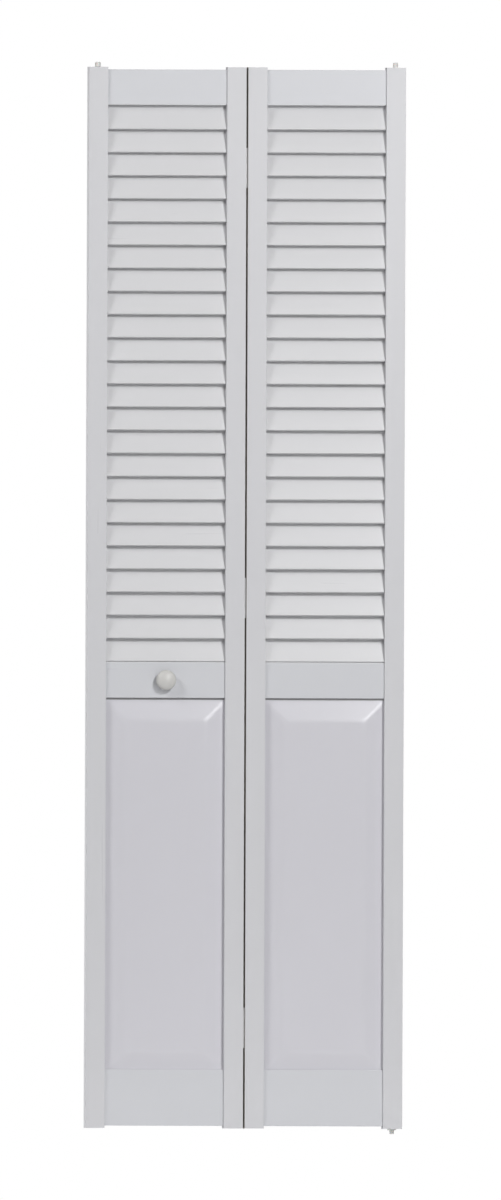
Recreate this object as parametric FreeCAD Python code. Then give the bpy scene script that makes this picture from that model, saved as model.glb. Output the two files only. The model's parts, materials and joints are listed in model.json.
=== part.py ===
import FreeCAD, Part
import math
import os

from FreeCAD import Vector

# A louvre-over-panel bifold closet door: two leaves hinged together, with a knob on the lead
# leaf, pivots at the foot and head of the pivot leaf, and a sprung guide roller at the head of
# the lead leaf. Millimetres. X runs to the right as seen from the room, Y into the closet and
# Z up. The origin is on the pivot axis, halfway through the door, at the underside of the
# bottom pivot's collar, which stands on the floor bracket.

# ---- the door and its leaves
DOOR_HEIGHT = 2006.6            # stile length, 79 in
DOOR_WIDTH = 603.2              # both leaves and the gap between them
LEAF_GAP = 3.0
STILE_WIDTH = 36.8
STILE_THICKNESS = 28.6
STILE_EDGE_ROUND = 1.0
HORN = 4.8                      # how far the stiles run on past the top and bottom rails

# ---- rails, and the openings that they frame
RAIL_THICKNESS = 19.0
RAIL_EDGE_ROUND = 0.8
BOTTOM_RAIL_HEIGHT = 106.2
PANEL_OPENING_HEIGHT = 702.7
LOCK_RAIL_HEIGHT = 67.5
TOP_RAIL_HEIGHT = 66.5

# ---- louvre slats, let into slots in the stiles with their lower edge towards the room
SLAT_COUNT = 24
SLAT_WIDTH = 48.0
SLAT_THICKNESS = 6.35
SLAT_EDGE_ROUND = 1.5
SLAT_TILT = 17.0                # degrees from upright
SLAT_END_GAP = 0.4              # below the lowest slat and above the highest one
SLOT_DEPTH = 6.0
SLOT_FIT = 0.1

# ---- raised panel, which stands in a groove all round
PANEL_THICKNESS = 19.0
PANEL_TONGUE = 5.8
PANEL_LIP = 3.5                 # flat margin between the frame and the bevels
PANEL_BEVEL_SIDE = 31.0
PANEL_BEVEL_TOP = 38.0
PANEL_BEVEL_BOTTOM = 30.5
GROOVE_DEPTH = 8.0
GROOVE_FIT = 0.1
PANEL_EXPANSION_GAP = 1.5       # left at the sides and the top for the panel to swell

# ---- dowels, two in each rail end
DOWEL_RADIUS = 4.0
DOWEL_IN_STILE = 25.0
DOWEL_IN_RAIL = 35.0
DOWEL_SPACING = 18.0
DOWEL_EDGE = 10.0               # from the nearest dowel to the rail's edge or groove
DOWEL_FIT = 0.05
DOWEL_END_GAP = 2.0

# ---- butt hinges on the back of the door
HINGE_HEIGHT = 76.2
HINGE_END_INSET = 190.5         # from the door's end to the middle of the hinge
HINGE_PLATE_WIDTH = 22.0        # from the back face towards the room
HINGE_PLATE_THICKNESS = 1.3
KNUCKLE_RADIUS = 2.8
KNUCKLE_BEHIND_BACK = 3.2       # from the door's back face to the hinge axis
KNUCKLE_COUNT = 5
KNUCKLE_END_GAP = 0.2
KNUCKLE_SWEEP_GAP = 0.4         # between a knuckle and the other plate's cut-out
HINGE_PIN_RADIUS = 1.6
HINGE_PIN_HEAD_RADIUS = 2.6
HINGE_PIN_HEAD_HEIGHT = 1.2
PIN_PRESS_GAP = 0.02
PIN_RUNNING_GAP = 0.05

# ---- countersunk wood screws, three in each hinge plate
WOOD_SCREW_RADIUS = 1.75
WOOD_SCREW_HEAD_RADIUS = 2.75
WOOD_SCREW_LENGTH = 19.0
WOOD_SCREW_TIP = 3.0
WOOD_SCREW_SPACING = 25.4
WOOD_SCREW_STAGGER = 3.5
WOOD_SCREW_FIT = 0.03
SCREW_RECESS_WIDTH = 0.8
SCREW_RECESS_DEPTH = 0.8
SCREW_RECESS_SPAN = 0.6         # share of the head's diameter that the cross takes

# ---- knob and its machine screw
KNOB_DIAMETER = 38.1
KNOB_BASE_RADIUS = 10.0
KNOB_BASE_HEIGHT = 1.8
KNOB_NECK_COVE = 2.4            # radius of the hollow between the base and the neck
KNOB_RIM_HEIGHT = 12.0          # from the rail to the widest part of the rim
KNOB_UNDER_ROUND = 3.9          # radius of the rim's underside
KNOB_RIM_ROUND = 7.5            # radius of the rim's front
KNOB_DOME_RADIUS = 28.0
MACHINE_SCREW_RADIUS = 2.1
MACHINE_SCREW_IN_KNOB = 12.0
MACHINE_SCREW_HEAD_RADIUS = 4.2
MACHINE_SCREW_HEAD_HEIGHT = 2.6
MACHINE_SCREW_HEAD_ROUND = 1.2
MACHINE_SCREW_CLEARANCE = 0.2
THREAD_GAP = 0.05
KNOB_BORE_END_GAP = 1.5

# ---- pivot and guide hardware, in sleeves let into the ends of the outer stiles
SLEEVE_RADIUS = 7.95
SLEEVE_DEPTH = 36.0
SLEEVE_FIT = 0.05
PIVOT_RADIUS = 4.75
BOTTOM_PIVOT_STEM_RADIUS = 4.0
TOP_PIVOT_SHANK_RADIUS = 5.2
PIVOT_RUNNING_GAP = 0.06
BOTTOM_PIVOT_NOSE = 7.0
BOTTOM_PIVOT_INSIDE = 33.0
BOTTOM_COLLAR_HEIGHT = 2.5
BOTTOM_COLLAR_ACROSS_FLATS = 14.3
HEXAGON_SIDES = 6
NOSE_CHAMFER = 0.8
SPRUNG_TRAVEL = 9.5             # how far the top pivot and the guide can be pressed in
TOP_SLEEVE_MOUTH = 6.0
SPRING_BORE_RADIUS = 6.2
FLANGE_RADIUS = 6.0
FLANGE_HEIGHT = 2.0
TAIL_RADIUS = 2.5
TAIL_LENGTH = 10.0
ROLLER_RADIUS = 5.55
ROLLER_HEIGHT = 8.3
ROLLER_ROUND = 1.0
ROLLER_END_PLAY = 0.1
ROLLER_POCKET_RADIUS = 5.9
ROLLER_COLLAR_RADIUS = 3.8
ROLLER_COLLAR_HEIGHT = 1.0
GUIDE_PIN_RADIUS = 2.5
GUIDE_PIN_HEAD_RADIUS = 3.9
GUIDE_NECK_HEIGHT = 4.0
GUIDE_TAIL_LENGTH = 5.0
SPRING_WIRE_RADIUS = 0.45
SPRING_TURNS = 7.0
SPRING_SIDE_GAP = 0.5

# ---- places worked out from the sizes above
LEAF_WIDTH = (DOOR_WIDTH - LEAF_GAP) / 2
OUTER_EDGE = STILE_WIDTH / 2
HINGE_EDGE = OUTER_EDGE - LEAF_WIDTH
GAP_X = HINGE_EDGE - LEAF_GAP / 2
RAIL_START = HINGE_EDGE + STILE_WIDTH
RAIL_END = OUTER_EDGE - STILE_WIDTH
LEAF_MIDDLE = (RAIL_START + RAIL_END) / 2
BACK = STILE_THICKNESS / 2
HINGE_AXIS_Y = BACK + KNUCKLE_BEHIND_BACK

STILE_FOOT = BOTTOM_COLLAR_HEIGHT
STILE_TOP = STILE_FOOT + DOOR_HEIGHT
BOTTOM_RAIL_Z = (STILE_FOOT + HORN, STILE_FOOT + HORN + BOTTOM_RAIL_HEIGHT)
PANEL_Z = (BOTTOM_RAIL_Z[1], BOTTOM_RAIL_Z[1] + PANEL_OPENING_HEIGHT)
LOCK_RAIL_Z = (PANEL_Z[1], PANEL_Z[1] + LOCK_RAIL_HEIGHT)
TOP_RAIL_Z = (STILE_TOP - HORN - TOP_RAIL_HEIGHT, STILE_TOP - HORN)
LOUVRE_Z = (LOCK_RAIL_Z[1], TOP_RAIL_Z[0])
HINGE_Z = {
    "bottom": STILE_FOOT + HINGE_END_INSET,
    "middle": (STILE_FOOT + STILE_TOP) / 2,
    "top": STILE_TOP - HINGE_END_INSET,
}
SLEEVE_FLOOR = STILE_TOP - SLEEVE_DEPTH

X_AXIS = Vector(1, 0, 0)
Y_AXIS = Vector(0, 1, 0)
Z_AXIS = Vector(0, 0, 1)


# ---- small helpers
def box(x_span, y_span, z_span):
    """A block between two values on each axis."""
    size = [span[1] - span[0] for span in (x_span, y_span, z_span)]
    return Part.makeBox(*size, Vector(x_span[0], y_span[0], z_span[0]))


def about_zero(thickness):
    return (-thickness / 2, thickness / 2)


def rod(radius, start, end):
    """A cylinder between two points."""
    return Part.makeCylinder(radius, (end - start).Length, start, end - start)


def upright_rod(radius, z_span, x=0, y=0):
    return rod(radius, Vector(x, y, z_span[0]), Vector(x, y, z_span[1]))


def eased(solid, axis, radius):
    """Rounds every edge of a block that runs along one axis."""
    along = [edge for edge in solid.Edges if abs(edge.tangentAt(edge.FirstParameter).dot(axis)) > 0.99]
    return solid.makeFillet(radius, along)


def joined(solids):
    return solids[0].fuse(solids[1:]).removeSplitter()


def mirrored(solid):
    """The same piece on the lead leaf, mirrored in the middle of the gap."""
    return solid.mirror(Vector(GAP_X, 0, 0), X_AXIS)


# ---- louvres
def upright_slat(inflate):
    """A slat with rounded edges, or with a gap the slot that it goes in, before it is tilted."""
    length = (RAIL_START - SLOT_DEPTH, RAIL_END + SLOT_DEPTH)
    block = box(length, about_zero(SLAT_THICKNESS + 2 * inflate), about_zero(SLAT_WIDTH + 2 * inflate))
    return eased(block, X_AXIS, SLAT_EDGE_ROUND + inflate)


def slat_heights():
    """The heights of the slats' middles, spread evenly so that they fill the opening."""
    tilt = math.radians(SLAT_TILT)
    along = (SLAT_WIDTH / 2 - SLAT_EDGE_ROUND) * math.cos(tilt)
    across = (SLAT_THICKNESS / 2 - SLAT_EDGE_ROUND) * math.sin(tilt)
    half_height = along + across + SLAT_EDGE_ROUND
    lowest = LOUVRE_Z[0] + SLAT_END_GAP + half_height
    highest = LOUVRE_Z[1] - SLAT_END_GAP - half_height
    pitch = (highest - lowest) / (SLAT_COUNT - 1)
    return [lowest + pitch * number for number in range(SLAT_COUNT)]


def slats(inflate=0.0):
    slat = upright_slat(inflate)
    slat.rotate(Vector(0, 0, 0), X_AXIS, -SLAT_TILT)
    return [slat.translated(Z_AXIS * z) for z in slat_heights()]


# ---- raised panel
def panel_envelope(gap, clearance):
    """The block that the panel's tongue fills; gap is left at the sides and the top."""
    reach = GROOVE_DEPTH - gap
    return box(
        (RAIL_START - reach, RAIL_END + reach),
        about_zero(PANEL_TONGUE + 2 * clearance),
        (PANEL_Z[0] - GROOVE_DEPTH, PANEL_Z[1] + reach),
    )


def panel_raise():
    """The bevelled back half of the panel, from its lip to its flat field."""
    left = RAIL_START + PANEL_LIP
    right = RAIL_END - PANEL_LIP
    foot = PANEL_Z[0] + PANEL_LIP
    head = PANEL_Z[1] - PANEL_LIP
    return Part.makeWedge(
        left,
        PANEL_TONGUE / 2,
        foot,
        foot + PANEL_BEVEL_BOTTOM,
        left + PANEL_BEVEL_SIDE,
        right,
        PANEL_THICKNESS / 2,
        head,
        head - PANEL_BEVEL_TOP,
        right - PANEL_BEVEL_SIDE,
    )


def make_panel():
    back = panel_raise()
    front = back.mirror(Vector(0, 0, 0), Y_AXIS)
    return joined([panel_envelope(PANEL_EXPANSION_GAP, 0), back, front])


def panel_groove():
    return panel_envelope(0, GROOVE_FIT)


# ---- dowels
def dowel_heights():
    """The height of the middle of each rail's pair of dowels."""
    inset = DOWEL_EDGE + DOWEL_SPACING / 2
    return [
        BOTTOM_RAIL_Z[1] - GROOVE_DEPTH - inset,
        (LOCK_RAIL_Z[0] + LOCK_RAIL_Z[1]) / 2,
        TOP_RAIL_Z[0] + inset,
    ]


def dowels(radius_gap=0.0, end_gap=0.0):
    """Every dowel of the leaf, or with gaps the holes that they go in."""
    rods = []
    for middle in dowel_heights():
        for z in (middle - DOWEL_SPACING / 2, middle + DOWEL_SPACING / 2):
            for shoulder, inward in ((RAIL_START, 1), (RAIL_END, -1)):
                start = Vector(shoulder - inward * DOWEL_IN_STILE, 0, z)
                end = Vector(shoulder + inward * (DOWEL_IN_RAIL + end_gap), 0, z)
                rods.append(rod(DOWEL_RADIUS + radius_gap, start, end))
    return rods


def dowel_holes():
    return dowels(DOWEL_FIT, DOWEL_END_GAP)


# ---- stiles and rails
def make_stile(x_span, extra_cuts):
    stile = eased(box(x_span, about_zero(STILE_THICKNESS), (STILE_FOOT, STILE_TOP)), Z_AXIS, STILE_EDGE_ROUND)
    cuts = slats(SLOT_FIT) + [panel_groove()] + dowel_holes() + extra_cuts
    return stile.cut(cuts)


def make_rail(z_span, extra_cuts):
    rail = eased(box((RAIL_START, RAIL_END), about_zero(RAIL_THICKNESS), z_span), X_AXIS, RAIL_EDGE_ROUND)
    return rail.cut([panel_groove()] + dowel_holes() + extra_cuts)


# ---- hinges
def knuckle_spans(z_middle):
    """The height span of each knuckle, from the foot of the hinge up."""
    pitch = HINGE_HEIGHT / KNUCKLE_COUNT
    foot = z_middle - HINGE_HEIGHT / 2
    return [(foot + pitch * number, foot + pitch * (number + 1)) for number in range(KNUCKLE_COUNT)]


def hinge_screw_places(z_middle):
    """Where the three screws of a plate meet its stile; the middle one is set towards the room."""
    middle_y = BACK - HINGE_PLATE_WIDTH / 2
    return [
        Vector(HINGE_EDGE, middle_y + WOOD_SCREW_STAGGER, z_middle - WOOD_SCREW_SPACING),
        Vector(HINGE_EDGE, middle_y - WOOD_SCREW_STAGGER, z_middle),
        Vector(HINGE_EDGE, middle_y + WOOD_SCREW_STAGGER, z_middle + WOOD_SCREW_SPACING),
    ]


def wood_screw(place, gap=0.0):
    """A countersunk screw driven along +X, its head flush with the plate; or its hole, with a gap."""
    head_top = place - X_AXIS * HINGE_PLATE_THICKNESS
    tip_start = place + X_AXIS * (WOOD_SCREW_LENGTH - WOOD_SCREW_TIP)
    head = Part.makeCone(
        WOOD_SCREW_HEAD_RADIUS + gap, WOOD_SCREW_RADIUS + gap, HINGE_PLATE_THICKNESS, head_top, X_AXIS
    )
    shank = rod(WOOD_SCREW_RADIUS + gap, place, tip_start)
    tip = Part.makeCone(WOOD_SCREW_RADIUS + gap, 0, WOOD_SCREW_TIP + gap, tip_start, X_AXIS)
    return joined([head, shank, tip])


def make_wood_screw(place):
    """The screw with a cross recess in its head."""
    head_top = place - X_AXIS * HINGE_PLATE_THICKNESS
    arm = about_zero(2 * SCREW_RECESS_SPAN * WOOD_SCREW_HEAD_RADIUS)
    slot = about_zero(SCREW_RECESS_WIDTH)
    cross = []
    for y_size, z_size in ((arm, slot), (slot, arm)):
        cross.append(
            box(
                (head_top.x, head_top.x + SCREW_RECESS_DEPTH),
                (place.y + y_size[0], place.y + y_size[1]),
                (place.z + z_size[0], place.z + z_size[1]),
            )
        )
    return wood_screw(place).cut(cross)


def make_hinge_plate(z_middle, own_knuckles, bore_gap):
    """A plate on the pivot leaf's side of the gap, with every second knuckle of the barrel."""
    plate = box(
        (HINGE_EDGE - HINGE_PLATE_THICKNESS, HINGE_EDGE),
        (BACK - HINGE_PLATE_WIDTH, HINGE_AXIS_Y),
        (z_middle - HINGE_HEIGHT / 2, z_middle + HINGE_HEIGHT / 2),
    )
    barrel = []
    clearances = []
    for number, (foot, head) in enumerate(knuckle_spans(z_middle)):
        if number % 2 == own_knuckles:
            span = (foot + KNUCKLE_END_GAP / 2, head - KNUCKLE_END_GAP / 2)
            barrel.append(upright_rod(KNUCKLE_RADIUS, span, GAP_X, HINGE_AXIS_Y))
        else:
            span = (foot - KNUCKLE_END_GAP / 2, head + KNUCKLE_END_GAP / 2)
            sweep = KNUCKLE_RADIUS + KNUCKLE_SWEEP_GAP
            clearances.append(upright_rod(sweep, span, GAP_X, HINGE_AXIS_Y))
    ends = (z_middle - HINGE_HEIGHT, z_middle + HINGE_HEIGHT)
    bore = upright_rod(HINGE_PIN_RADIUS + bore_gap, ends, GAP_X, HINGE_AXIS_Y)
    screw_holes = [wood_screw(place, WOOD_SCREW_FIT) for place in hinge_screw_places(z_middle)]
    return joined([plate.cut(clearances)] + barrel).cut([bore] + screw_holes)


def make_hinge_pin(z_middle):
    """A pin whose head rests on the top knuckle."""
    foot = z_middle - HINGE_HEIGHT / 2
    top = z_middle + HINGE_HEIGHT / 2 - KNUCKLE_END_GAP / 2
    shank = upright_rod(HINGE_PIN_RADIUS, (foot, top), GAP_X, HINGE_AXIS_Y)
    head = upright_rod(HINGE_PIN_HEAD_RADIUS, (top, top + HINGE_PIN_HEAD_HEIGHT), GAP_X, HINGE_AXIS_Y)
    return joined([shank, head])


def all_screw_places():
    return [place for z_middle in HINGE_Z.values() for place in hinge_screw_places(z_middle)]


def screw_pilot_holes():
    return [wood_screw(place, WOOD_SCREW_FIT) for place in all_screw_places()]


# ---- knob, on the front of the pivot leaf's side before it is mirrored
KNOB_Z = (LOCK_RAIL_Z[0] + LOCK_RAIL_Z[1]) / 2


def knob_point(radius, height):
    """A point of the knob's outline, at a distance from its axis and in front of the rail."""
    return Vector(LEAF_MIDDLE + radius, -RAIL_THICKNESS / 2 - height, KNOB_Z)


def knob_arc(centre_radius, centre_height, radius, first, last):
    """An arc of the knob's outline between two angles, in degrees from straight outwards."""

    def point_at(angle):
        across = radius * math.cos(math.radians(angle))
        up = radius * math.sin(math.radians(angle))
        return knob_point(centre_radius + across, centre_height + up)

    return Part.Arc(point_at(first), point_at((first + last) / 2), point_at(last)).toShape()


def make_knob():
    """A turned knob: base, hollow neck, underside, rim and dome run smoothly into each other."""
    rim_radius = KNOB_DIAMETER / 2
    neck_radius = KNOB_BASE_RADIUS - KNOB_NECK_COVE
    neck_height = KNOB_BASE_HEIGHT + KNOB_NECK_COVE
    flare = rim_radius - neck_radius
    rise = KNOB_RIM_HEIGHT - neck_height
    both_arcs = (flare**2 + rise**2) / (2 * flare)
    hollow = both_arcs - KNOB_UNDER_ROUND
    hollow_end = math.degrees(math.atan2(rise, flare - both_arcs))
    rim_centre = rim_radius - KNOB_RIM_ROUND
    dome_depth = math.sqrt((KNOB_DOME_RADIUS - KNOB_RIM_ROUND) ** 2 - rim_centre**2)
    dome_end = math.degrees(math.atan2(dome_depth, rim_centre))
    dome_centre = KNOB_RIM_HEIGHT - dome_depth
    foot_centre = knob_point(0, 0)
    base_foot = knob_point(KNOB_BASE_RADIUS, 0)
    edges = [
        Part.LineSegment(foot_centre, base_foot).toShape(),
        Part.LineSegment(base_foot, knob_point(KNOB_BASE_RADIUS, KNOB_BASE_HEIGHT)).toShape(),
        knob_arc(KNOB_BASE_RADIUS, neck_height, KNOB_NECK_COVE, 270, 180),
        knob_arc(neck_radius + hollow, neck_height, hollow, 180, hollow_end),
        knob_arc(rim_radius - KNOB_UNDER_ROUND, KNOB_RIM_HEIGHT, KNOB_UNDER_ROUND, hollow_end - 180, 0),
        knob_arc(rim_centre, KNOB_RIM_HEIGHT, KNOB_RIM_ROUND, 0, dome_end),
        knob_arc(0, dome_centre, KNOB_DOME_RADIUS, dome_end, 90),
        Part.LineSegment(knob_point(0, dome_centre + KNOB_DOME_RADIUS), foot_centre).toShape(),
    ]
    body = Part.Face(Part.Wire(edges)).revolve(foot_centre, Y_AXIS, 360)
    bore_end = knob_point(0, MACHINE_SCREW_IN_KNOB + KNOB_BORE_END_GAP)
    return body.cut(rod(MACHINE_SCREW_RADIUS + THREAD_GAP, foot_centre, bore_end))


def make_knob_screw():
    """A pan-head screw from the back of the rail into the knob."""
    seat = Vector(LEAF_MIDDLE, RAIL_THICKNESS / 2, KNOB_Z)
    head = rod(MACHINE_SCREW_HEAD_RADIUS, seat, seat + Y_AXIS * MACHINE_SCREW_HEAD_HEIGHT)
    rim = [edge for edge in head.Edges if edge.BoundBox.YMin > seat.y + MACHINE_SCREW_HEAD_HEIGHT / 2]
    head = head.makeFillet(MACHINE_SCREW_HEAD_ROUND, rim)
    shank = rod(MACHINE_SCREW_RADIUS, knob_point(0, MACHINE_SCREW_IN_KNOB), seat)
    top = seat.y + MACHINE_SCREW_HEAD_HEIGHT
    arm = about_zero(2 * SCREW_RECESS_SPAN * MACHINE_SCREW_HEAD_RADIUS)
    slot = about_zero(SCREW_RECESS_WIDTH)
    cross = []
    for x_size, z_size in ((arm, slot), (slot, arm)):
        cross.append(
            box(
                (seat.x + x_size[0], seat.x + x_size[1]),
                (top - SCREW_RECESS_DEPTH, top),
                (seat.z + z_size[0], seat.z + z_size[1]),
            )
        )
    return joined([shank, head]).cut(cross)


def knob_screw_hole():
    front = Vector(LEAF_MIDDLE, -RAIL_THICKNESS / 2, KNOB_Z)
    back = Vector(LEAF_MIDDLE, RAIL_THICKNESS / 2, KNOB_Z)
    return rod(MACHINE_SCREW_RADIUS + MACHINE_SCREW_CLEARANCE, front, back)


# ---- pivot and guide hardware, on the pivot axis before the guide's pieces are mirrored
def top_sleeve_hole():
    return upright_rod(SLEEVE_RADIUS + SLEEVE_FIT, (SLEEVE_FLOOR, STILE_TOP))


def bottom_sleeve_hole():
    return upright_rod(SLEEVE_RADIUS + SLEEVE_FIT, (STILE_FOOT, STILE_FOOT + SLEEVE_DEPTH))


def nose_pin(root, tip):
    """A pivot's free end on the pivot axis, from its root to a tip with a broken edge."""
    outward = Z_AXIS if tip > root else -Z_AXIS
    shoulder = Vector(0, 0, tip) - outward * NOSE_CHAMFER
    straight = rod(PIVOT_RADIUS, Vector(0, 0, root), shoulder)
    end = Part.makeCone(PIVOT_RADIUS, PIVOT_RADIUS - NOSE_CHAMFER, NOSE_CHAMFER, shoulder, outward)
    return joined([straight, end])


def make_bottom_pivot_sleeve():
    span = (STILE_FOOT, STILE_FOOT + SLEEVE_DEPTH)
    bore = upright_rod(BOTTOM_PIVOT_STEM_RADIUS + PIVOT_RUNNING_GAP, span)
    return upright_rod(SLEEVE_RADIUS, span).cut(bore)


def hexagon(across_flats, z_span):
    """An upright hexagonal prism on the pivot axis."""
    corner = Vector(across_flats / math.sqrt(3), 0, z_span[0])
    turn = FreeCAD.Rotation(Z_AXIS, 360 / HEXAGON_SIDES)
    corners = [corner]
    for _ in range(HEXAGON_SIDES):
        corners.append(turn.multVec(corners[-1]))
    return Part.Face(Part.makePolygon(corners)).extrude(Z_AXIS * (z_span[1] - z_span[0]))


def make_bottom_pivot():
    """The pin that stands in the floor bracket, with the hexagon collar that carries the door."""
    nose = nose_pin(0, -BOTTOM_PIVOT_NOSE)
    collar = hexagon(BOTTOM_COLLAR_ACROSS_FLATS, (0, STILE_FOOT))
    stem = upright_rod(BOTTOM_PIVOT_STEM_RADIUS, (STILE_FOOT, STILE_FOOT + BOTTOM_PIVOT_INSIDE))
    return joined([nose, collar, stem])


def make_top_pivot_sleeve():
    """A sleeve whose mouth guides the pivot and holds its flange in."""
    sleeve = upright_rod(SLEEVE_RADIUS, (SLEEVE_FLOOR, STILE_TOP))
    mouth = upright_rod(TOP_PIVOT_SHANK_RADIUS + PIVOT_RUNNING_GAP, (SLEEVE_FLOOR, STILE_TOP))
    spring_bore = upright_rod(SPRING_BORE_RADIUS, (SLEEVE_FLOOR, STILE_TOP - TOP_SLEEVE_MOUTH))
    return sleeve.cut([mouth, spring_bore])


def make_top_pivot():
    """The sprung pin: nose, shank, flange under the sleeve's mouth, and a tail inside the spring."""
    flange_top = STILE_TOP - TOP_SLEEVE_MOUTH
    flange_foot = flange_top - FLANGE_HEIGHT
    nose = nose_pin(STILE_TOP, STILE_TOP + SPRUNG_TRAVEL)
    shank = upright_rod(TOP_PIVOT_SHANK_RADIUS, (flange_foot, STILE_TOP))
    flange = upright_rod(FLANGE_RADIUS, (flange_foot, flange_top))
    tail = upright_rod(TAIL_RADIUS, (flange_foot - TAIL_LENGTH, flange_foot))
    return joined([nose, shank, flange, tail])


def make_spring(z_span):
    """A compression spring with its ends ground flat, between two heights on the pivot axis."""
    height = z_span[1] - z_span[0]
    coil_radius = SPRING_BORE_RADIUS - SPRING_SIDE_GAP - SPRING_WIRE_RADIUS
    helix = Part.makeHelix(height / SPRING_TURNS, height, coil_radius)
    helix.translate(Z_AXIS * z_span[0])
    start = Vector(coil_radius, 0, z_span[0])
    rise = height / SPRING_TURNS / (2 * math.pi * coil_radius)
    ring = Part.Wire(Part.makeCircle(SPRING_WIRE_RADIUS, start, Vector(0, 1, rise)))
    coil = Part.Wire(helix.Edges).makePipeShell([ring], True, True)
    return coil.common(upright_rod(SPRING_BORE_RADIUS, z_span))


ROLLER_FOOT = STILE_TOP + ROLLER_END_PLAY
ROLLER_TOP = ROLLER_FOOT + ROLLER_HEIGHT
GUIDE_TIP = STILE_TOP + SPRUNG_TRAVEL
GUIDE_POCKET_FLOOR = STILE_TOP - SPRUNG_TRAVEL - ROLLER_COLLAR_HEIGHT - ROLLER_END_PLAY
GUIDE_NECK_FOOT = GUIDE_POCKET_FLOOR - GUIDE_NECK_HEIGHT
GUIDE_FLANGE_FOOT = GUIDE_NECK_FOOT - FLANGE_HEIGHT


def make_guide_sleeve():
    """A sleeve with a pocket for the pressed-in roller, a neck, and a bore for the spring."""
    sleeve = upright_rod(SLEEVE_RADIUS, (SLEEVE_FLOOR, STILE_TOP))
    pocket = upright_rod(ROLLER_POCKET_RADIUS, (GUIDE_POCKET_FLOOR, STILE_TOP))
    neck = upright_rod(GUIDE_PIN_RADIUS + PIVOT_RUNNING_GAP, (SLEEVE_FLOOR, STILE_TOP))
    spring_bore = upright_rod(SPRING_BORE_RADIUS, (SLEEVE_FLOOR, GUIDE_NECK_FOOT))
    return sleeve.cut([pocket, neck, spring_bore])


def make_guide_pin():
    """The sprung pin that the roller turns on, between a collar and a riveted head."""
    shaft = upright_rod(GUIDE_PIN_RADIUS, (GUIDE_FLANGE_FOOT - GUIDE_TAIL_LENGTH, GUIDE_TIP))
    flange = upright_rod(FLANGE_RADIUS, (GUIDE_FLANGE_FOOT, GUIDE_NECK_FOOT))
    collar = upright_rod(ROLLER_COLLAR_RADIUS, (STILE_TOP - ROLLER_COLLAR_HEIGHT, STILE_TOP))
    head = upright_rod(GUIDE_PIN_HEAD_RADIUS, (ROLLER_TOP + ROLLER_END_PLAY, GUIDE_TIP))
    return joined([shaft, flange, collar, head])


def make_guide_roller():
    roller = upright_rod(ROLLER_RADIUS, (ROLLER_FOOT, ROLLER_TOP))
    rims = [edge for edge in roller.Edges if edge.Curve.TypeId == "Part::GeomCircle"]
    bore = upright_rod(GUIDE_PIN_RADIUS + PIVOT_RUNNING_GAP, (ROLLER_FOOT, ROLLER_TOP))
    return roller.makeFillet(ROLLER_ROUND, rims).cut(bore)


# ---- the leaves and their hardware
def leaf_pieces(leaf, outer_cuts, lock_rail_cuts):
    """The wooden pieces that both leaves have, keyed by node name."""
    return {
        leaf + "_hinge_stile": make_stile((HINGE_EDGE, RAIL_START), screw_pilot_holes()),
        leaf + "_outer_stile": make_stile((RAIL_END, OUTER_EDGE), outer_cuts),
        leaf + "_bottom_rail": make_rail(BOTTOM_RAIL_Z, []),
        leaf + "_lock_rail": make_rail(LOCK_RAIL_Z, lock_rail_cuts),
        leaf + "_top_rail": make_rail(TOP_RAIL_Z, []),
        leaf + "_raised_panel": make_panel(),
        leaf + "_louvre_slats": Part.makeCompound(slats()),
        leaf + "_rail_dowels": Part.makeCompound(dowels()),
        leaf + "_hinge_screws": Part.makeCompound([make_wood_screw(place) for place in all_screw_places()]),
    }


def pivot_leaf():
    pieces = leaf_pieces("pivot", [bottom_sleeve_hole(), top_sleeve_hole()], [])
    for place, z_middle in HINGE_Z.items():
        pieces[place + "_hinge_pivot_plate"] = make_hinge_plate(z_middle, 0, PIN_PRESS_GAP)
        pieces[place + "_hinge_pin"] = make_hinge_pin(z_middle)
    pieces["bottom_pivot_sleeve"] = make_bottom_pivot_sleeve()
    pieces["bottom_pivot"] = make_bottom_pivot()
    pieces["top_pivot_sleeve"] = make_top_pivot_sleeve()
    pieces["top_pivot"] = make_top_pivot()
    spring_top = STILE_TOP - TOP_SLEEVE_MOUTH - FLANGE_HEIGHT
    pieces["top_pivot_spring"] = make_spring((SLEEVE_FLOOR, spring_top))
    return pieces


def lead_leaf():
    pieces = leaf_pieces("lead", [top_sleeve_hole()], [knob_screw_hole()])
    for place, z_middle in HINGE_Z.items():
        pieces[place + "_hinge_lead_plate"] = make_hinge_plate(z_middle, 1, PIN_RUNNING_GAP)
    pieces["knob"] = make_knob()
    pieces["knob_screw"] = make_knob_screw()
    pieces["guide_sleeve"] = make_guide_sleeve()
    pieces["guide_pin"] = make_guide_pin()
    pieces["guide_roller"] = make_guide_roller()
    pieces["guide_spring"] = make_spring((SLEEVE_FLOOR, GUIDE_FLANGE_FOOT))
    return {name: mirrored(piece) for name, piece in pieces.items()}


os.makedirs("parts", exist_ok=True)
nodes = {**pivot_leaf(), **lead_leaf()}
for name, piece in nodes.items():
    piece.exportStep(os.path.join("parts", name + ".step"))
    print(name, len(piece.Solids), "solids", round(piece.Volume / 1000, 2), "cm3", piece.isValid())
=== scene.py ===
import json
import math

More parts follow.
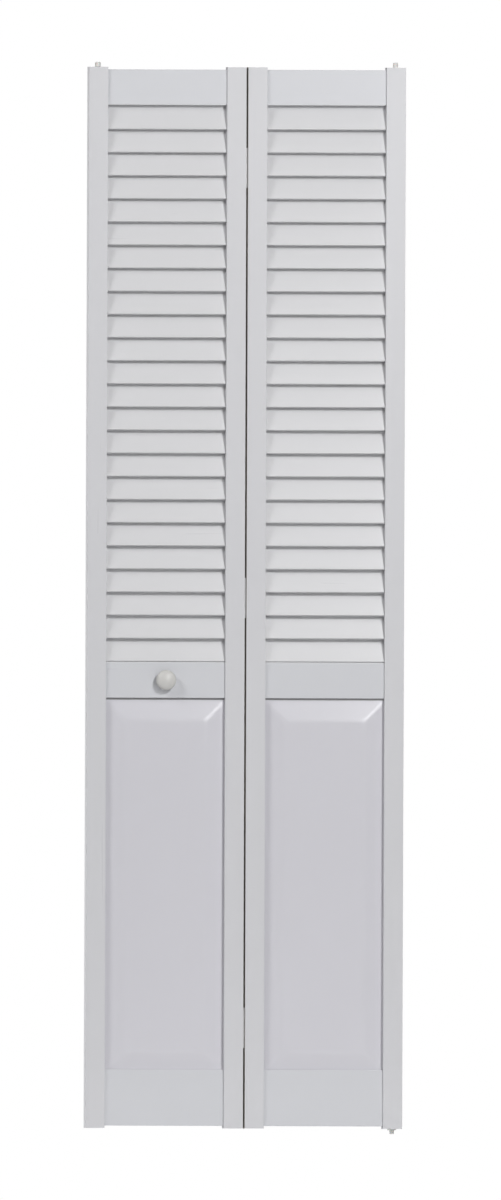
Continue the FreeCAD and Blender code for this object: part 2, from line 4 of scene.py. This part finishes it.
import bmesh
import bpy
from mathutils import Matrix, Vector


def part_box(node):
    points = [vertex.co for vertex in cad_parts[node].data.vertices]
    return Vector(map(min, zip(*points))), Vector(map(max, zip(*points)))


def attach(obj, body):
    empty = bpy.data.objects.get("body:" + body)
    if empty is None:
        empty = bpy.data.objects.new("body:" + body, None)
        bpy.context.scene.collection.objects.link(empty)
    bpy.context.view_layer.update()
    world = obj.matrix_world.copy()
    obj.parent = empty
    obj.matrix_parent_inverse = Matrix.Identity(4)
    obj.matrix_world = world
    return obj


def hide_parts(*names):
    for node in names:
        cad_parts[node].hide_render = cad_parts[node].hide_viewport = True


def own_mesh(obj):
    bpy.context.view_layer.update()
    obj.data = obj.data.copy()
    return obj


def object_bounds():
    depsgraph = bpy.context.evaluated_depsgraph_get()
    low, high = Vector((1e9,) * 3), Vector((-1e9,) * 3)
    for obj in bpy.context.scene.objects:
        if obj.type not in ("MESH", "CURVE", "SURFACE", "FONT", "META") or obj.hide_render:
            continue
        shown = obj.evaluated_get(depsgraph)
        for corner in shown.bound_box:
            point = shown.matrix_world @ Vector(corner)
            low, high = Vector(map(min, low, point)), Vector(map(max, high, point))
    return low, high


# A white louvre-over-panel bifold closet door in a plain studio. Metres, in the CAD's frame:
# X to the right as seen from the room, Y into the closet, Z up.

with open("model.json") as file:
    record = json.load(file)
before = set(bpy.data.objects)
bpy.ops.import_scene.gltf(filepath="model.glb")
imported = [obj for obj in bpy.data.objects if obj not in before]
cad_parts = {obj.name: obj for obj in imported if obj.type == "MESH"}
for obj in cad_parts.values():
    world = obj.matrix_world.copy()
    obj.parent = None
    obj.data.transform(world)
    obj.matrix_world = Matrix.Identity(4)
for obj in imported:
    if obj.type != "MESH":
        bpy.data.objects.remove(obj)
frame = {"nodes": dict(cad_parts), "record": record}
cad_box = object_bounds()
LEAVES = ("lead", "pivot")

# ---- the frame of the photograph, and where the door stands in it
FRAME_PIXELS = (501, 1200)
DOOR_CENTRE_PIXEL = (244.8, 597.9)
PIXELS_PER_METRE = 528.9
CAMERA_YAW = 6.45               # degrees to the left of straight on, so that the gap reads dark
CAMERA_ROLL = 0.21              # degrees; the photograph leans a little
CAMERA_DISTANCE = 6.0

# ---- louvre slats
SLAT_WIDTH = 0.048
SLAT_THICKNESS = 0.00635
SLAT_TILT = 17.0                # degrees from upright
SLAT_COUNT = 24
SLAT_LEAN_SPREAD = 0.15         # degrees by which hand-set slats differ
SLAT_LEAN_STEP = 7.3            # radians of a sine from slat to slat, so that no pattern shows
SLAT_LEAN_START = {"lead": 4, "pivot": 5}
SLAT_EDGE_ROUND = 0.0015

# ---- raised panels; all four bevels are alike, and meet at 45 degrees
PANEL_TONGUE = 0.0058
BEVEL_WIDTH = 0.039
TOP_LIP = 0.0035                # from the lock rail down to the top bevel
SIDE_HIDDEN = 0.0025            # how much of a side bevel lies in the stile's groove
BOTTOM_HIDDEN = 0.005           # and how much of the bottom bevel, in the bottom rail's
LIP_ROUND = 0.04                # share of the bevel over which the lip runs into it, each way
FIELD_ROUND = 0.15              # share of the bevel over which it runs into the field, each way
ROUND_STEPS = 4
HOLD = 0.012                    # share of the bevel that stays flat beside each rounding
MITRE_RADIUS_LIP = 0.006        # of the bevels' corners, beside the lip
MITRE_RADIUS_FIELD = 0.010      # and beside the field
TONGUE_CORNER_RADIUS = 0.001

# ---- knob
KNOB_RADIUS = 0.01905
KNOB_BASE_RADIUS = 0.010
KNOB_BASE_HEIGHT = 0.0018
KNOB_NECK_COVE = 0.0024
KNOB_RIM_HEIGHT = 0.012
KNOB_UNDER_ROUND = 0.0039
KNOB_RIM_ROUND = 0.0075
KNOB_DOME_RADIUS = 0.028
KNOB_TIP_ANGLE = 89.0           # where the dome's last ring lies, short of its middle
KNOB_SEGMENTS = 96
KNOB_ARC_STEPS = 10

# ---- springs behind the sprung pins
SPRING_WIRE_RADIUS = 0.00045
SPRING_TURNS = 7
SPRING_STEPS = 32               # rings along each turn
WIRE_SEGMENTS = 12

# ---- meshes
CORNER_STEPS = 8                # faces around each rounded corner
SMOOTH_ANGLE = 40.0             # edges that turn by more than this stay sharp

# ---- finishes; tones run from 0 to 255, scales count spots to a metre, and a pair of
# roughnesses is that of the smoothest and of the coarsest spot
GRAIN_STRETCH = 0.035           # the grain's width, as a share of its length
GRAIN_ALONG = {"X": (GRAIN_STRETCH, 1, 1), "Z": (1, 1, GRAIN_STRETCH)}
RING_SCALE = 90                 # the wood's broad growth rings
RING_DEPTH = 0.000015
PORE_SCALE = 700
PORE_DEPTH = 0.000012
PEEL_SCALE = 900                # orange peel
PEEL_DEPTH = 0.00001
SHADE_SCALE = 5                 # slow change of the paint's tone
SHADE_SPREAD = 3                # tones between the lightest and darkest paint
SATIN = (0.26, 0.31)
SEMI_GLOSS = (0.21, 0.24)
EGGSHELL = (0.38, 0.44)
DRY_ROUGHNESS = 0.85            # of edges that the spray only dusted
EDGE_FACING = (0.55, 0.85)      # how far a surface faces X where the dry finish starts and is full
MEETING_REACH = 0.002           # from the middle of the gap to past both leaves' meeting edges
GAP_SHADE_TONES = (162, 157, 149)     # painted shade on both leaves' meeting edges, where the gap between them is dark
LIP_SHADE_TONES = (146, 146, 147)      # painted shade on the panel's lip under the lock rail, where the rail's shadow falls
STEEL_MARK_SCALE = 900          # drawing marks
STEEL_CLOUD_SCALE = 60
STEEL_SHADE = 0.82              # the darkest plating, as a share of the lightest
NYLON_SKIN_SCALE = 1500
NYLON_CLOUD_SCALE = 40
NYLON_SHADE = 0.94
NYLON_ROUGHNESS = (0.42, 0.55)
NYLON_SUBSURFACE = 0.1
NYLON_SUBSURFACE_REACH = 0.002
SKIN_DEPTH = 0.00002            # relief of plating and of moulded nylon

# ---- studio
FLOOR_SIZE = 12.0
FLOOR_DROP = 0.001              # below the lowest point of the door
FLOOR_CLOUD_SCALE = 1.5
FLOOR_DARK = (208, 208, 208)
FLOOR_LIGHT = (214, 214, 214)
FLOOR_ROUGHNESS = 0.6
FLOOR_PALENESS = 0.6            # share of white that it shows the camera whatever the light
WORLD_STRENGTH = 0.03           # of the light that the world itself throws on the door


# ---- small helpers
def linear(tones):
    """The linear colour of red, green and blue tones as on screen (sRGB), from 0 to 255."""
    colour = []
    for tone in tones:
        share = tone / 255
        colour.append(share / 12.92 if share <= 0.04045 else ((share + 0.055) / 1.055) ** 2.4)
    return (*colour, 1.0)


def new_object(name, data):
    piece = bpy.data.objects.new(name, data)
    bpy.context.scene.collection.objects.link(piece)
    return piece


def set_material(piece, material):
    piece.data.materials.clear()
    piece.data.materials.append(material)


def rounded_rectangle(left, right, foot, head, radius):
    """Points around a rectangle with round corners, as (across, up)."""
    corners = (
        (right - radius, head - radius, 0),
        (left + radius, head - radius, 90),
        (left + radius, foot + radius, 180),
        (right - radius, foot + radius, 270),
    )
    points = []
    for across, up, start in corners:
        for step in range(CORNER_STEPS + 1):
            turn = math.radians(start + 90 * step / CORNER_STEPS)
            points.append((across + radius * math.cos(turn), up + radius * math.sin(turn)))
    return points


def loft(name, rings):
    """A closed piece whose rings of points are joined in turn and capped at both ends."""
    count = len(rings[0])
    points = [point for ring in rings for point in ring]
    faces = []
    for start in range(0, len(points) - count, count):
        for here in range(count):
            there = (here + 1) % count
            faces.append((start + here, start + there, start + count + there, start + count + here))
    faces.append(tuple(range(count)))
    faces.append(tuple(range(len(points) - count, len(points))))
    mesh = bpy.data.meshes.new(name)
    mesh.from_pydata(points, [], faces)
    shape = bmesh.new()
    shape.from_mesh(mesh)
    bmesh.ops.recalc_face_normals(shape, faces=shape.faces)
    shape.to_mesh(mesh)
    shape.free()
    mesh.shade_smooth()
    mesh.set_sharp_from_angle(angle=math.radians(SMOOTH_ANGLE))
    return new_object(name, mesh)


def put_in_place(piece, body, node, material):
    """A piece that stands for a CAD node."""
    set_material(piece, material)
    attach(piece, body)
    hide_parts(node)


# ---- materials
class Nodes:
    """A short way to write a material's node tree."""

    def __init__(self, name):
        self.material = bpy.data.materials.new(name)
        self.material.use_nodes = True
        self.tree = self.material.node_tree
        self.shader = self.tree.nodes["Principled BSDF"]
        self.place = self.tree.nodes.new("ShaderNodeTexCoord").outputs["Object"]

    def add(self, kind, **values):
        node = self.tree.nodes.new("ShaderNode" + kind)
        for name, value in values.items():
            setattr(node, name, value)
        return node

    def link(self, output, socket):
        self.tree.links.new(output, socket)

    def noise(self, scale, stretch=(1, 1, 1), detail=4.0, roughness=0.5):
        mapping = self.add("Mapping")
        mapping.inputs["Scale"].default_value = stretch
        self.link(self.place, mapping.inputs["Vector"])
        noise = self.add("TexNoise")
        noise.inputs["Scale"].default_value = scale
        noise.inputs["Detail"].default_value = detail
        noise.inputs["Roughness"].default_value = roughness
        self.link(mapping.outputs["Vector"], noise.inputs["Vector"])
        return noise.outputs["Fac"]

    def ranged(self, value, low, high):
        spread = self.add("MapRange")
        spread.inputs["To Min"].default_value = low
        spread.inputs["To Max"].default_value = high
        self.link(value, spread.inputs["Value"])
        return spread.outputs["Result"]

    def bump(self, height, depth, under=None):
        bump = self.add("Bump")
        bump.inputs["Distance"].default_value = depth
        self.link(height, bump.inputs["Height"])
        if under:
            self.link(under, bump.inputs["Normal"])
        return bump.outputs["Normal"]

    def blend_colours(self, share, first, second):
        """A mix of two colours, each a node's output or a plain colour."""
        mix = self.add("Mix", data_type="RGBA")
        self.link(share, mix.inputs["Factor"])
        # its sockets for colours come after those for numbers and vectors
        for socket, colour in zip(mix.inputs[6:8], (first, second)):
            if isinstance(colour, tuple):
                socket.default_value = colour
            else:
                self.link(colour, socket)
        return mix.outputs[2]

    def math(self, operation, first, second=None):
        """The result for one value or two, each a node's output or a plain number."""
        node = self.add("Math", operation=operation)
        for socket, value in zip(node.inputs, (first, second)):
            if isinstance(value, float):
                socket.default_value = value
            elif value is not None:
                self.link(value, socket)
        return node.outputs[0]

    def facing_x(self):
        """1 where the surface faces along the piece's X axis, either way, falling to 0 elsewhere."""
        split = self.add("SeparateXYZ")
        self.link(self.add("TexCoord").outputs["Normal"], split.inputs["Vector"])
        share = self.add("MapRange")
        share.inputs["From Min"].default_value = EDGE_FACING[0]
        share.inputs["From Max"].default_value = EDGE_FACING[1]
        self.link(self.math("ABSOLUTE", split.outputs["X"]), share.inputs["Value"])
        return share.outputs["Result"]

    def near(self, axis, place, reach):
        """1 within reach of a place along an axis, and 0 elsewhere."""
        split = self.add("SeparateXYZ")
        self.link(self.place, split.inputs["Vector"])
        distance = self.math("ABSOLUTE", self.math("SUBTRACT", split.outputs[axis], place))
        return self.math("LESS_THAN", distance, reach)


def gap_middle():
    """Where the middle of the gap between the two leaves lies along X."""
    return (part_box("lead_hinge_stile")[1].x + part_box("pivot_hinge_stile")[0].x) / 2


def wood(name, grain, tones, gloss=SATIN, dry_edges_and_gap_shade=False, painted_lip_shade=False):
    """Wood under sprayed paint, or bare: faint grain, a fine skin and a slow change of tone, with painted
    shade on the meeting edges beside the gap and on the panel's lip under the lock rail when asked for.
    """
    nodes = Nodes(name)
    pores = nodes.noise(PORE_SCALE, GRAIN_ALONG[grain], detail=5, roughness=0.65)
    rings = nodes.noise(RING_SCALE, GRAIN_ALONG[grain], detail=3)
    peel = nodes.noise(PEEL_SCALE, detail=2)
    slow = nodes.noise(SHADE_SCALE, detail=2)
    relief = nodes.bump(rings, RING_DEPTH)
    relief = nodes.bump(pores, PORE_DEPTH, under=relief)
    relief = nodes.bump(peel, PEEL_DEPTH, under=relief)
    nodes.link(relief, nodes.shader.inputs["Normal"])
    light = linear(tone + SHADE_SPREAD / 2 for tone in tones)
    dark = linear(tone - SHADE_SPREAD / 2 for tone in tones)
    colour = nodes.blend_colours(slow, dark, light)
    roughness = nodes.ranged(rings, *gloss)
    if dry_edges_and_gap_shade:
        edge = nodes.facing_x()
        blend = nodes.add("MapRange")
        blend.inputs["To Max"].default_value = DRY_ROUGHNESS
        nodes.link(edge, blend.inputs["Value"])
        nodes.link(roughness, blend.inputs["To Min"])
        roughness = blend.outputs["Result"]
        # painted shade: the X-facing meeting edges beside the gap take a darker warm grey that stands in
        # for the gap's shade
        meeting_edge_shade = nodes.math("MULTIPLY", edge, nodes.near("X", gap_middle(), MEETING_REACH))
        colour = nodes.blend_colours(meeting_edge_shade, colour, linear(GAP_SHADE_TONES))
    if painted_lip_shade:
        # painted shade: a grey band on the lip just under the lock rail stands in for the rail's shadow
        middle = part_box("lead_lock_rail")[0].z - TOP_LIP / 2
        colour = nodes.blend_colours(nodes.near("Z", middle, TOP_LIP / 2), colour, linear(LIP_SHADE_TONES))
    nodes.link(colour, nodes.shader.inputs["Base Color"])
    nodes.link(roughness, nodes.shader.inputs["Roughness"])
    return nodes.material


def darker(colour, share):
    """A linear colour with only a share of its light."""
    return tuple(share * channel for channel in colour[:3]) + (1.0,)


def steel(name, tones, gloss, stretch=(1, 1, 1)):
    """Plated steel with fine drawing marks, which may be stretched along an axis."""
    nodes = Nodes(name)
    colour = linear(tones)
    marks = nodes.noise(STEEL_MARK_SCALE, stretch)
    cloud = nodes.noise(STEEL_CLOUD_SCALE, detail=3)
    nodes.link(nodes.bump(marks, SKIN_DEPTH), nodes.shader.inputs["Normal"])
    shade = nodes.blend_colours(cloud, darker(colour, STEEL_SHADE), colour)
    nodes.link(shade, nodes.shader.inputs["Base Color"])
    nodes.link(nodes.ranged(marks, *gloss), nodes.shader.inputs["Roughness"])
    nodes.shader.inputs["Metallic"].default_value = 1.0
    return nodes.material


def nylon(name, tones):
    """Moulded nylon, slightly waxy."""
    nodes = Nodes(name)
    colour = linear(tones)
    skin = nodes.noise(NYLON_SKIN_SCALE, detail=3)
    cloud = nodes.noise(NYLON_CLOUD_SCALE, detail=2)
    nodes.link(nodes.bump(skin, SKIN_DEPTH), nodes.shader.inputs["Normal"])
    shade = nodes.blend_colours(cloud, darker(colour, NYLON_SHADE), colour)
    nodes.link(shade, nodes.shader.inputs["Base Color"])
    nodes.link(nodes.ranged(skin, *NYLON_ROUGHNESS), nodes.shader.inputs["Roughness"])
    nodes.shader.inputs["Subsurface Weight"].default_value = NYLON_SUBSURFACE
    nodes.shader.inputs["Subsurface Scale"].default_value = NYLON_SUBSURFACE_REACH
    return nodes.material


stile_paint = wood("stile_paint", "Z", (206, 206, 209), dry_edges_and_gap_shade=True)
rail_paint = wood("rail_paint", "X", (205, 206, 210))
slat_paint = wood("slat_paint", "X", (206, 206, 208))
panel_paint = wood("panel_paint", "Z", (207, 206, 212), gloss=SEMI_GLOSS, painted_lip_shade=True)
knob_paint = wood("knob_paint", "Z", (203, 202, 199), gloss=EGGSHELL)
dowel_wood = wood("dowel_wood", "X", (213, 186, 139))
zinc = steel("zinc", (205, 205, 207), gloss=(0.3, 0.45), stretch=(1, 1, 0.05))
spring_steel = steel("spring_steel", (160, 160, 165), gloss=(0.25, 0.4))
white_nylon = nylon("white_nylon", (226, 226, 222))

MATERIAL_OF_SLOT = {
    "white_paint": stile_paint,
    "knob_paint": knob_paint,
    "dowel_wood": dowel_wood,
    "zinc_steel": zinc,
    "spring_steel": spring_steel,
    "nylon": white_nylon,
}


def dress_cad_nodes():
    """Every CAD node takes the finish of its slot; the rails have their grain along X."""
    for subpart in frame["record"]["subparts"]:
        name = subpart["node"]
        material = MATERIAL_OF_SLOT[subpart["material_slot"]]
        if name.endswith("_rail"):
            material = rail_paint
        set_material(frame["nodes"][name], material)


# ---- louvre slats
def slat_outline(lean):
    """The section of a slat about its middle, leaning back from its lower edge, as (y, z)."""
    half_thickness, half_width = SLAT_THICKNESS / 2, SLAT_WIDTH / 2
    upright = rounded_rectangle(-half_thickness, half_thickness, -half_width, half_width, SLAT_EDGE_ROUND)
    sine, cosine = math.sin(lean), math.cos(lean)
    return [(y * cosine + z * sine, z * cosine - y * sine) for y, z in upright]


def make_louvres(leaf):
    """Separate slats in place of the leaf's grouped ones."""
    node = leaf + "_louvre_slats"
    low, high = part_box(node)
    half_height = max(z for y, z in slat_outline(math.radians(SLAT_TILT)))
    pitch = (high.z - low.z - 2 * half_height) / (SLAT_COUNT - 1)
    for number in range(SLAT_COUNT):
        wobble = math.sin(SLAT_LEAN_STEP * number + SLAT_LEAN_START[leaf]) * SLAT_LEAN_SPREAD
        middle = low.z + half_height + pitch * number
        outline = slat_outline(math.radians(SLAT_TILT + wobble))
        rings = [[(x, y, middle + z) for y, z in outline] for x in (low.x, high.x)]
        slat = loft(f"{leaf}_slat_{number + 1:02d}", rings)
        put_in_place(slat, leaf + "_leaf", node, slat_paint)


# ---- raised panels
def eased_rise(share, spread):
    """Nothing up to -spread, a straight slope of one from +spread, and an even bend between."""
    if abs(share) >= spread:
        return max(share, 0.0)
    return (share + spread) ** 2 / (4 * spread)


def bevel_shares():
    """The shares of a bevel's width at which the panel has a ring, from the lip to the field."""
    steps = [step / ROUND_STEPS for step in range(-ROUND_STEPS, ROUND_STEPS + 1)]
    lip = [LIP_ROUND * step for step in steps]
    field = [1 + FIELD_ROUND * step for step in steps]
    holds = [lip[0] - HOLD, lip[-1] + HOLD, field[0] - HOLD, field[-1] + HOLD]
    return sorted(lip + field + holds)


def panel_ring(opening, share, depth, outward):
    """A ring of the panel's face; outward is -1 on the room side and 1 on the closet side."""
    left, right, foot, head = opening
    inward = BEVEL_WIDTH * share
    side = inward - SIDE_HIDDEN
    rise = eased_rise(share, LIP_ROUND) - eased_rise(share - 1, FIELD_ROUND)
    y = outward * (PANEL_TONGUE / 2 + (depth - PANEL_TONGUE / 2) * rise)
    grown = min(max(share, 0.0), 1.0)
    around = rounded_rectangle(
        left + side,
        right - side,
        foot - BOTTOM_HIDDEN + inward,
        head - TOP_LIP - inward,
        MITRE_RADIUS_LIP + (MITRE_RADIUS_FIELD - MITRE_RADIUS_LIP) * grown,
    )
    return [(x, y, z) for x, z in around]


def make_panel(leaf):
    """The raised panel with its lip, soft bevels and rounded mitres on both faces."""
    node = leaf + "_raised_panel"
    low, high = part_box(node)
    stiles = [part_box(leaf + "_hinge_stile"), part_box(leaf + "_outer_stile")]
    stiles.sort(key=lambda box: box[0].x)
    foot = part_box(leaf + "_bottom_rail")[1].z
    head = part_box(leaf + "_lock_rail")[0].z
    opening = (stiles[0][1].x, stiles[1][0].x, foot, head)
    shares = bevel_shares()
    edge = PANEL_TONGUE / 2
    rings = [panel_ring(opening, share, high.y, 1) for share in reversed(shares)]
    tongue = rounded_rectangle(low.x, high.x, low.z, high.z, TONGUE_CORNER_RADIUS)
    rings += [[(x, y, z) for x, z in tongue] for y in (edge, -edge)]
    rings += [panel_ring(opening, share, high.y, -1) for share in shares]
    put_in_place(loft(leaf + "_panel", rings), leaf + "_leaf", node, panel_paint)


# ---- knob
def arc(centre_radius, centre_height, radius, first, last):
    """Points of the knob's outline as (radius, height), between two angles in degrees."""
    points = []
    for step in range(KNOB_ARC_STEPS + 1):
        turn = math.radians(first + (last - first) * step / KNOB_ARC_STEPS)
        points.append((centre_radius + radius * math.cos(turn), centre_height + radius * math.sin(turn)))
    return points


def knob_outline():
    """Base, hollow neck, underside, rim and dome, which run smoothly into each other."""
    neck_radius = KNOB_BASE_RADIUS - KNOB_NECK_COVE
    neck_height = KNOB_BASE_HEIGHT + KNOB_NECK_COVE
    flare = KNOB_RADIUS - neck_radius
    rise = KNOB_RIM_HEIGHT - neck_height
    both_arcs = (flare**2 + rise**2) / (2 * flare)
    hollow = both_arcs - KNOB_UNDER_ROUND
    hollow_end = math.degrees(math.atan2(rise, flare - both_arcs))
    under_centre = KNOB_RADIUS - KNOB_UNDER_ROUND
    rim_centre = KNOB_RADIUS - KNOB_RIM_ROUND
    dome_depth = math.sqrt((KNOB_DOME_RADIUS - KNOB_RIM_ROUND) ** 2 - rim_centre**2)
    dome_end = math.degrees(math.atan2(dome_depth, rim_centre))
    outline = [(KNOB_BASE_RADIUS, 0.0)]
    outline += arc(KNOB_BASE_RADIUS, neck_height, KNOB_NECK_COVE, 270, 180)
    outline += arc(neck_radius + hollow, neck_height, hollow, 180, hollow_end)[1:]
    outline += arc(under_centre, KNOB_RIM_HEIGHT, KNOB_UNDER_ROUND, hollow_end - 180, 0)[1:]
    outline += arc(rim_centre, KNOB_RIM_HEIGHT, KNOB_RIM_ROUND, 0, dome_end)[1:]
    outline += arc(0, KNOB_RIM_HEIGHT - dome_depth, KNOB_DOME_RADIUS, dome_end, KNOB_TIP_ANGLE)[1:]
    return outline


def make_knob():
    """The turned knob, on its own axis in front of the lock rail."""
    low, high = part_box("knob")
    middle = (low + high) / 2
    turns = [2 * math.pi * number / KNOB_SEGMENTS for number in range(KNOB_SEGMENTS)]
    rings = []
    for radius, height in knob_outline():
        around = [(radius * math.cos(turn), radius * math.sin(turn)) for turn in turns]
        rings.append([(middle.x + x, high.y - height, middle.z + z) for x, z in around])
    put_in_place(loft("pull_knob", rings), "lead_leaf", "knob", knob_paint)


# ---- springs
def make_spring(node, body):
    """A coil spring with its ends ground flat, in place of the CAD node, with a mesh of its own."""
    low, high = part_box(node)
    middle = (low + high) / 2
    length = high.z - low.z
    coil_radius = (high.x - low.x) / 2 - SPRING_WIRE_RADIUS
    ring_count = SPRING_TURNS * SPRING_STEPS
    rings = []
    for number in range(ring_count + 1):
        turn = 2 * math.pi * number / SPRING_STEPS
        height = low.z + length * number / ring_count
        ring = []
        for segment in range(WIRE_SEGMENTS):
            angle = 2 * math.pi * segment / WIRE_SEGMENTS
            out = coil_radius + SPRING_WIRE_RADIUS * math.cos(angle)
            up = height + SPRING_WIRE_RADIUS * math.sin(angle)
            x = middle.x + out * math.cos(turn)
            y = middle.y + out * math.sin(turn)
            ring.append((x, y, min(max(up, low.z), high.z)))
        rings.append(ring)
    spring = loft(node + "_coil", rings)
    put_in_place(spring, body, node, spring_steel)
    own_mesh(spring)


# ---- the studio
def make_camera():
    """An orthographic camera, placed so that the door's centre lands on its pixel."""
    low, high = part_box("lead_outer_stile")[0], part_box("pivot_outer_stile")[1]
    centre = (low + high) / 2
    data = bpy.data.cameras.new("camera")
    data.type = "ORTHO"
    data.ortho_scale = FRAME_PIXELS[1] / PIXELS_PER_METRE
    data.clip_end = 4 * CAMERA_DISTANCE
    camera = new_object("camera", data)
    yaw = math.radians(CAMERA_YAW)
    forward = Vector((math.sin(yaw), math.cos(yaw), 0))
    turn = forward.to_track_quat("-Z", "Y")
    camera.rotation_euler = turn.to_euler()
    camera.rotation_euler.rotate_axis("Z", math.radians(CAMERA_ROLL))
    right = turn @ Vector((1, 0, 0))
    off_x = (FRAME_PIXELS[0] / 2 - DOOR_CENTRE_PIXEL[0]) / PIXELS_PER_METRE
    off_z = (DOOR_CENTRE_PIXEL[1] - FRAME_PIXELS[1] / 2) / PIXELS_PER_METRE
    camera.location = centre + right * off_x + Vector((0, 0, off_z)) - forward * CAMERA_DISTANCE
    bpy.context.scene.camera = camera


def make_lamp(name, place, aim, size, watts):
    """A softbox of a width and height at a place, turned to face a point."""
    data = bpy.data.lights.new(name, "AREA")
    data.shape = "RECTANGLE"
    data.size, data.size_y = size
    data.energy = watts
    lamp = new_object(name, data)
    lamp.visible_camera = False
    lamp.location = place
    lamp.rotation_euler = (Vector(aim) - Vector(place)).to_track_quat("-Z", "Y").to_euler()


def background_seen(tree):
    """1 for rays that show the background: from the camera, off gloss or through glass."""
    path = tree.nodes.new("ShaderNodeLightPath")
    seen = path.outputs["Is Camera Ray"]
    for kind in ("Is Glossy Ray", "Is Transmission Ray"):
        either = tree.nodes.new("ShaderNodeMath")
        either.operation = "MAXIMUM"
        tree.links.new(seen, either.inputs[0])
        tree.links.new(path.outputs[kind], either.inputs[1])
        seen = either.outputs[0]
    return seen


def make_world():
    """White where the background is seen, and dim on the door, which the lamps light."""
    world = bpy.data.worlds.new("studio")
    bpy.context.scene.world = world
    world.use_nodes = True
    tree = world.node_tree
    background = tree.nodes["Background"]
    background.inputs["Color"].default_value = (1.0, 1.0, 1.0, 1.0)
    strength = tree.nodes.new("ShaderNodeMapRange")
    strength.inputs["To Min"].default_value = WORLD_STRENGTH
    strength.inputs["To Max"].default_value = 1.0
    tree.links.new(background_seen(tree), strength.inputs["Value"])
    tree.links.new(strength.outputs["Result"], background.inputs["Strength"])


def make_floor():
    """A pale floor just under the bottom pivot, which keeps the door's shadow."""
    level = cad_box[0].z - FLOOR_DROP
    half = FLOOR_SIZE / 2
    corners = [(-half, -half, level), (half, -half, level), (half, half, level), (-half, half, level)]
    mesh = bpy.data.meshes.new("floor")
    mesh.from_pydata(corners, [], [(0, 1, 2, 3)])
    floor = new_object("floor", mesh)
    nodes = Nodes("floor")
    cloud = nodes.noise(FLOOR_CLOUD_SCALE, detail=3)
    colour = nodes.blend_colours(cloud, linear(FLOOR_DARK), linear(FLOOR_LIGHT))
    nodes.link(colour, nodes.shader.inputs["Base Color"])
    nodes.shader.inputs["Roughness"].default_value = FLOOR_ROUGHNESS
    nodes.shader.inputs["Emission Color"].default_value = (1.0, 1.0, 1.0, 1.0)
    paleness = nodes.math("MULTIPLY", background_seen(nodes.tree), FLOOR_PALENESS)
    nodes.link(paleness, nodes.shader.inputs["Emission Strength"])
    set_material(floor, nodes.material)


def make_lamps():
    """A key high on the right, a broad fill from the left, small accents and three behind."""
    door = (cad_box[0] + cad_box[1]) / 2
    threshold = Vector((door.x, 0, 0.12))
    right_stile = Vector((0, 0, 1.5))
    make_lamp("key", (2.2, -6.0, 4.6), aim=door, size=(0.8, 0.8), watts=247)
    make_lamp("left_fill", (-4.5, -3.0, 4.5), aim=door, size=(2.0, 2.0), watts=129)
    make_lamp("right_sheen", (1.0, -5.5, 2.4), aim=right_stile, size=(0.5, 1.5), watts=19)
    make_lamp("mitre_glint", (1.445, -5.67, 1.93), aim=door, size=(0.35, 0.35), watts=26)
    make_lamp("floor_fill", (door.x, -0.55, 0.04), aim=threshold, size=(1.2, 0.06), watts=0.33)
    make_lamp("back_left", (-3.2, 1.6, 0.5), aim=door, size=(1.2, 0.8), watts=48)
    make_lamp("back_right", (2.6, 1.6, 0.5), aim=door, size=(1.2, 0.8), watts=48)
    make_lamp("behind", (1.0, 3.4, 0.9), aim=door, size=(2.0, 1.2), watts=20)


def make_studio():
    make_lamps()
    make_world()
    make_floor()


make_camera()
dress_cad_nodes()
for leaf in LEAVES:
    make_louvres(leaf)
    make_panel(leaf)
make_knob()
make_spring("top_pivot_spring", "pivot_leaf")
make_spring("guide_spring", "lead_leaf")
make_studio()

scene = bpy.context.scene
scene.view_settings.view_transform = "Standard"
